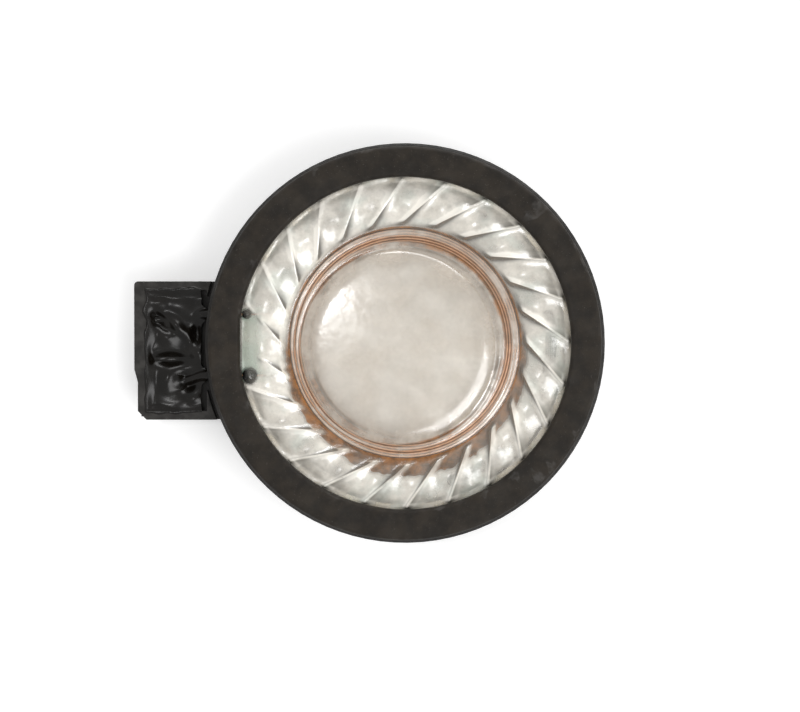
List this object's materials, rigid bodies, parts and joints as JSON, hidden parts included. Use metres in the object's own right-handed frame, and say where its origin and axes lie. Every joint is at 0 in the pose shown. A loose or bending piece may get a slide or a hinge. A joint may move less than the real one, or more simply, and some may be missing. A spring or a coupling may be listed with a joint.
{
  "type": "phone ringer speaker",
  "caption": "Round phone ringer speaker with a clear spiral-ribbed film diaphragm over a voice coil, a black front gasket and a side tab with soldered, potted terminals.",
  "frame": {"origin": "centre of the steel yoke's rear face, which the speaker lies on", "axes": "+Z along the speaker's axis towards the diaphragm and front gasket; -X towards the terminal tab; +Y completes a right-handed frame"},
  "size_m": [0.0189, 0.016, 0.0036],
  "materials": {
    "moulding": "satin black moulding with a fine mould texture",
    "nickel_plate": "bright nickel-plated steel",
    "magnet_nickel": "dull nickel-plated magnet",
    "copper_wire": "enamelled copper wire",
    "amber_glue": "clear amber glue",
    "clear_film": "thin clear thermoformed polyester film",
    "pale_brass": "bright pale brass",
    "adhesive_tape": "double-sided tape",
    "black_rubber": "matt black rubber, slightly mottled",
    "screen_cloth": "fine woven polyester screen",
    "board_laminate": "laminate under black solder mask",
    "gold_plate": "gold-plated copper",
    "solder": "bright solder",
    "black_potting": "glossy black potting",
    "insulating_pad": "pale greenish insulating film",
    "black_glue": "glossy black glue"
  },
  "bodies": {
    "housing": {"frame": "moulding", "yoke": "nickel_plate", "magnet": "magnet_nickel", "top_plate": "nickel_plate", "film_surround": "clear_film", "film_ring": "pale_brass", "gasket_tape": "adhesive_tape", "front_gasket": "black_rubber", "vent_screen": "screen_cloth", "terminal_board": "board_laminate", "contact_upper": "gold_plate", "contact_lower": "gold_plate", "solder_upper": "solder", "solder_lower": "solder", "potting_upper": "black_potting", "potting_lower": "black_potting", "lead_pad": "insulating_pad", "lead_bead_upper": "black_glue", "lead_bead_lower": "black_glue", "lead_wire_upper": "copper_wire", "lead_wire_lower": "copper_wire"},
    "coil": {"voice_coil": "copper_wire", "coil_bond": "amber_glue", "film_dome": "clear_film"}
  },
  "joints": [
    {"name": "diaphragm_travel", "type": "slide", "parent": "housing", "child": "coil", "axis": [0, 0, 1], "range_m": [-0.00025, 0.00025], "stiffness_N_per_m": 400, "deforming": ["film_surround", "lead_wire_upper", "lead_wire_lower"]}
  ]
}
